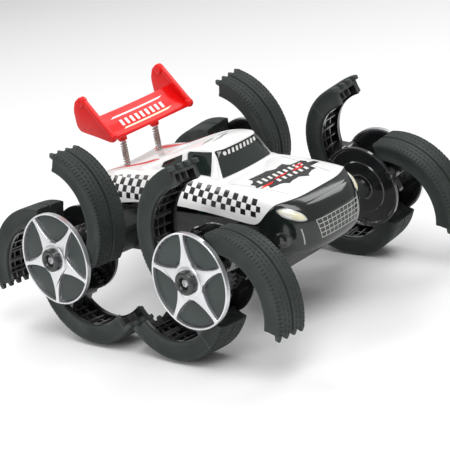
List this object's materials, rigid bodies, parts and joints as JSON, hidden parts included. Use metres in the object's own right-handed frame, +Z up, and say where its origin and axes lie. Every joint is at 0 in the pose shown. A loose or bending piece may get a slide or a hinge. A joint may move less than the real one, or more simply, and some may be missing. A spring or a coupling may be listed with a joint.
{
  "type": "radio controlled stunt car",
  "caption": "Toy stunt car with a fastback body, a sprung rear wing and wheels whose split tyres swing open into claws.",
  "frame": {"origin": "on the ground under the middle of the car, halfway between the axles", "axes": "+X the car's left, -Y towards the nose, +Z up"},
  "size_m": [0.21, 0.247, 0.1434],
  "materials": {
    "black_gloss": "gloss",
    "dark_cap": "satin",
    "dark_panel": "matte",
    "silver_trim": "satin",
    "steel": "satin",
    "tread_rubber": "matte",
    "white_body": "gloss",
    "smoked_window": "gloss",
    "headlight_lens": "gloss",
    "red_wing": "gloss",
    "spring_steel": "satin",
    "chassis_black": "satin",
    "motor_can": "satin",
    "brass": "satin",
    "battery_wrap": "gloss",
    "board_green": "satin"
  },
  "bodies": {
    "chassis": {"body_shell": "white_body", "nose_fascia": "black_gloss", "window_insert": "smoked_window", "headlights": "headlight_lens", "wing_springs": "spring_steel", "chassis_tray": "chassis_black", "gearbox_cases": "chassis_black", "drive_motors": "motor_can", "battery_pack": "battery_wrap", "battery_door": "chassis_black", "circuit_board": "board_green", "body_screws": "steel"},
    "front_right_axle_set": {"front_right_axle": "steel"},
    "front_right_wheel": {"front_right_hub_cap": "dark_cap", "front_right_star_trim": "silver_trim", "front_right_outer_plate": "dark_panel", "front_right_inner_plate": "black_gloss"},
    "front_right_claw_1": {"front_right_claw_frame_1": "black_gloss", "front_right_claw_tread_1": "tread_rubber"},
    "front_right_claw_2": {"front_right_claw_frame_2": "black_gloss", "front_right_claw_tread_2": "tread_rubber"},
    "front_right_claw_3": {"front_right_claw_frame_3": "black_gloss", "front_right_claw_tread_3": "tread_rubber"},
    "rear_right_axle_set": {"rear_right_axle": "steel"},
    "rear_right_wheel": {"rear_right_hub_cap": "dark_cap", "rear_right_star_trim": "silver_trim", "rear_right_outer_plate": "dark_panel", "rear_right_inner_plate": "black_gloss"},
    "rear_right_claw_1": {"rear_right_claw_frame_1": "black_gloss", "rear_right_claw_tread_1": "tread_rubber"},
    "rear_right_claw_2": {"rear_right_claw_frame_2": "black_gloss", "rear_right_claw_tread_2": "tread_rubber"},
    "rear_right_claw_3": {"rear_right_claw_frame_3": "black_gloss", "rear_right_claw_tread_3": "tread_rubber"},
    "front_left_axle_set": {"front_left_axle": "steel"},
    "front_left_wheel": {"front_left_hub_cap": "dark_cap", "front_left_star_trim": "silver_trim", "front_left_outer_plate": "dark_panel", "front_left_inner_plate": "black_gloss"},
    "front_left_claw_1": {"front_left_claw_frame_1": "black_gloss", "front_left_claw_tread_1": "tread_rubber"},
    "front_left_claw_2": {"front_left_claw_frame_2": "black_gloss", "front_left_claw_tread_2": "tread_rubber"},
    "front_left_claw_3": {"front_left_claw_frame_3": "black_gloss", "front_left_claw_tread_3": "tread_rubber"},
    "rear_left_axle_set": {"rear_left_axle": "steel"},
    "rear_left_wheel": {"rear_left_hub_cap": "dark_cap", "rear_left_star_trim": "silver_trim", "rear_left_outer_plate": "dark_panel", "rear_left_inner_plate": "black_gloss"},
    "rear_left_claw_1": {"rear_left_claw_frame_1": "black_gloss", "rear_left_claw_tread_1": "tread_rubber"},
    "rear_left_claw_2": {"rear_left_claw_frame_2": "black_gloss", "rear_left_claw_tread_2": "tread_rubber"},
    "rear_left_claw_3": {"rear_left_claw_frame_3": "black_gloss", "rear_left_claw_tread_3": "tread_rubber"},
    "right_pinion": {"right_motor_pinion": "brass"},
    "left_pinion": {"left_motor_pinion": "brass"},
    "wing": {"rear_wing": "red_wing"},
    "switch": {"power_switch": "dark_cap"}
  },
  "joints": [
    {"name": "front_right_spin", "type": "hinge", "parent": "chassis", "child": "front_right_axle_set", "pos_m": [-0.06015, -0.05849, 0.05343], "axis": [-0.9962, 0, 0.0872], "continuous": true},
    {"name": "front_right_fold", "type": "hinge", "parent": "front_right_axle_set", "child": "front_right_wheel", "pos_m": [-0.08506, -0.05849, 0.05561], "axis": [0.9962, 0, -0.0872], "range_deg": [0, 48.89]},
    {"name": "front_right_claw_1_swing", "type": "hinge", "parent": "front_right_wheel", "child": "front_right_claw_1", "pos_m": [-0.08368, -0.03719, 0.07131], "axis": [0.9962, 0, -0.0872], "range_deg": [0, 55]},
    {"name": "front_right_claw_2_swing", "type": "hinge", "parent": "front_right_wheel", "child": "front_right_claw_2", "pos_m": [-0.08735, -0.05549, 0.02938], "axis": [0.9962, 0, -0.0872], "range_deg": [0, 55]},
    {"name": "front_right_claw_3_swing", "type": "hinge", "parent": "front_right_wheel", "child": "front_right_claw_3", "pos_m": [-0.08414, -0.08279, 0.06613], "axis": [0.9962, 0, -0.0872], "range_deg": [0, 55]},
    {"name": "rear_right_spin", "type": "hinge", "parent": "chassis", "child": "rear_right_axle_set", "pos_m": [-0.06015, 0.05849, 0.05343], "axis": [-0.9962, 0, 0.0872], "continuous": true},
    {"name": "rear_right_fold", "type": "hinge", "parent": "rear_right_axle_set", "child": "rear_right_wheel", "pos_m": [-0.08506, 0.05849, 0.05561], "axis": [-0.9962, 0, 0.0872], "range_deg": [0, 48.89]},
    {"name": "rear_right_claw_1_swing", "type": "hinge", "parent": "rear_right_wheel", "child": "rear_right_claw_1", "pos_m": [-0.08368, 0.03719, 0.07131], "axis": [-0.9962, 0, 0.0872], "range_deg": [0, 55]},
    {"name": "rear_right_claw_2_swing", "type": "hinge", "parent": "rear_right_wheel", "child": "rear_right_claw_2", "pos_m": [-0.08735, 0.05549, 0.02938], "axis": [-0.9962, 0, 0.0872], "range_deg": [0, 55]},
    {"name": "rear_right_claw_3_swing", "type": "hinge", "parent": "rear_right_wheel", "child": "rear_right_claw_3", "pos_m": [-0.08414, 0.08279, 0.06613], "axis": [-0.9962, 0, 0.0872], "range_deg": [0, 55]},
    {"name": "front_left_spin", "type": "hinge", "parent": "chassis", "child": "front_left_axle_set", "pos_m": [0.06015, -0.05849, 0.05343], "axis": [0.9962, 0, 0.0872], "continuous": true},
    {"name": "front_left_fold", "type": "hinge", "parent": "front_left_axle_set", "child": "front_left_wheel", "pos_m": [0.08506, -0.05849, 0.05561], "axis": [0.9962, 0, 0.0872], "range_deg": [0, 48.89]},
    {"name": "front_left_claw_1_swing", "type": "hinge", "parent": "front_left_wheel", "child": "front_left_claw_1", "pos_m": [0.08368, -0.03719, 0.07131], "axis": [0.9962, 0, 0.0872], "range_deg": [0, 55]},
    {"name": "front_left_claw_2_swing", "type": "hinge", "parent": "front_left_wheel", "child": "front_left_claw_2", "pos_m": [0.08735, -0.05549, 0.02938], "axis": [0.9962, 0, 0.0872], "range_deg": [0, 55]},
    {"name": "front_left_claw_3_swing", "type": "hinge", "parent": "front_left_wheel", "child": "front_left_claw_3", "pos_m": [0.08414, -0.08279, 0.06613], "axis": [0.9962, 0, 0.0872], "range_deg": [0, 55]},
    {"name": "rear_left_spin", "type": "hinge", "parent": "chassis", "child": "rear_left_axle_set", "pos_m": [0.06015, 0.05849, 0.05343], "axis": [0.9962, 0, 0.0872], "continuous": true},
    {"name": "rear_left_fold", "type": "hinge", "parent": "rear_left_axle_set", "child": "rear_left_wheel", "pos_m": [0.08506, 0.05849, 0.05561], "axis": [-0.9962, 0, -0.0872], "range_deg": [0, 48.89]},
    {"name": "rear_left_claw_1_swing", "type": "hinge", "parent": "rear_left_wheel", "child": "rear_left_claw_1", "pos_m": [0.08368, 0.03719, 0.07131], "axis": [-0.9962, 0, -0.0872], "range_deg": [0, 55]},
    {"name": "rear_left_claw_2_swing", "type": "hinge", "parent": "rear_left_wheel", "child": "rear_left_claw_2", "pos_m": [0.08735, 0.05549, 0.02938], "axis": [-0.9962, 0, -0.0872], "range_deg": [0, 55]},
    {"name": "rear_left_claw_3_swing", "type": "hinge", "parent": "rear_left_wheel", "child": "rear_left_claw_3", "pos_m": [0.08414, 0.08279, 0.06613], "axis": [-0.9962, 0, -0.0872], "range_deg": [0, 55]},
    {"name": "right_pinion_spin", "type": "hinge", "parent": "chassis", "child": "right_pinion", "pos_m": [-0.04543, 0.04958, 0.06108], "axis": [-0.9962, 0, 0.0872], "continuous": true},
    {"name": "left_pinion_spin", "type": "hinge", "parent": "chassis", "child": "left_pinion", "pos_m": [0.04543, 0.04958, 0.06108], "axis": [0.9962, 0, 0.0872], "continuous": true},
    {"name": "wing_bounce", "type": "slide", "parent": "chassis", "child": "wing", "axis": [0, 0, 1], "range_m": [-0.005, 0], "stiffness_N_per_m": 400, "springref_m": 0.0015, "deforming": ["wing_springs"]},
    {"name": "switch_slide", "type": "slide", "parent": "chassis", "child": "switch", "axis": [0, 1, 0], "range_m": [-0.002, 0.002]}
  ],
  "couplings": [
    {"joint": "front_right_claw_1_swing", "follows": "front_right_fold", "ratio": 1.125},
    {"joint": "front_right_claw_2_swing", "follows": "front_right_fold", "ratio": 1.125},
    {"joint": "front_right_claw_3_swing", "follows": "front_right_fold", "ratio": 1.125},
    {"joint": "rear_right_claw_1_swing", "follows": "rear_right_fold", "ratio": 1.125},
    {"joint": "rear_right_claw_2_swing", "follows": "rear_right_fold", "ratio": 1.125},
    {"joint": "rear_right_claw_3_swing", "follows": "rear_right_fold", "ratio": 1.125},
    {"joint": "front_left_claw_1_swing", "follows": "front_left_fold", "ratio": 1.125},
    {"joint": "front_left_claw_2_swing", "follows": "front_left_fold", "ratio": 1.125},
    {"joint": "front_left_claw_3_swing", "follows": "front_left_fold", "ratio": 1.125},
    {"joint": "rear_left_claw_1_swing", "follows": "rear_left_fold", "ratio": 1.125},
    {"joint": "rear_left_claw_2_swing", "follows": "rear_left_fold", "ratio": 1.125},
    {"joint": "rear_left_claw_3_swing", "follows": "rear_left_fold", "ratio": 1.125},
    {"joint": "right_pinion_spin", "follows": "rear_right_spin", "ratio": -3.2},
    {"joint": "left_pinion_spin", "follows": "rear_left_spin", "ratio": -3.2}
  ]
}
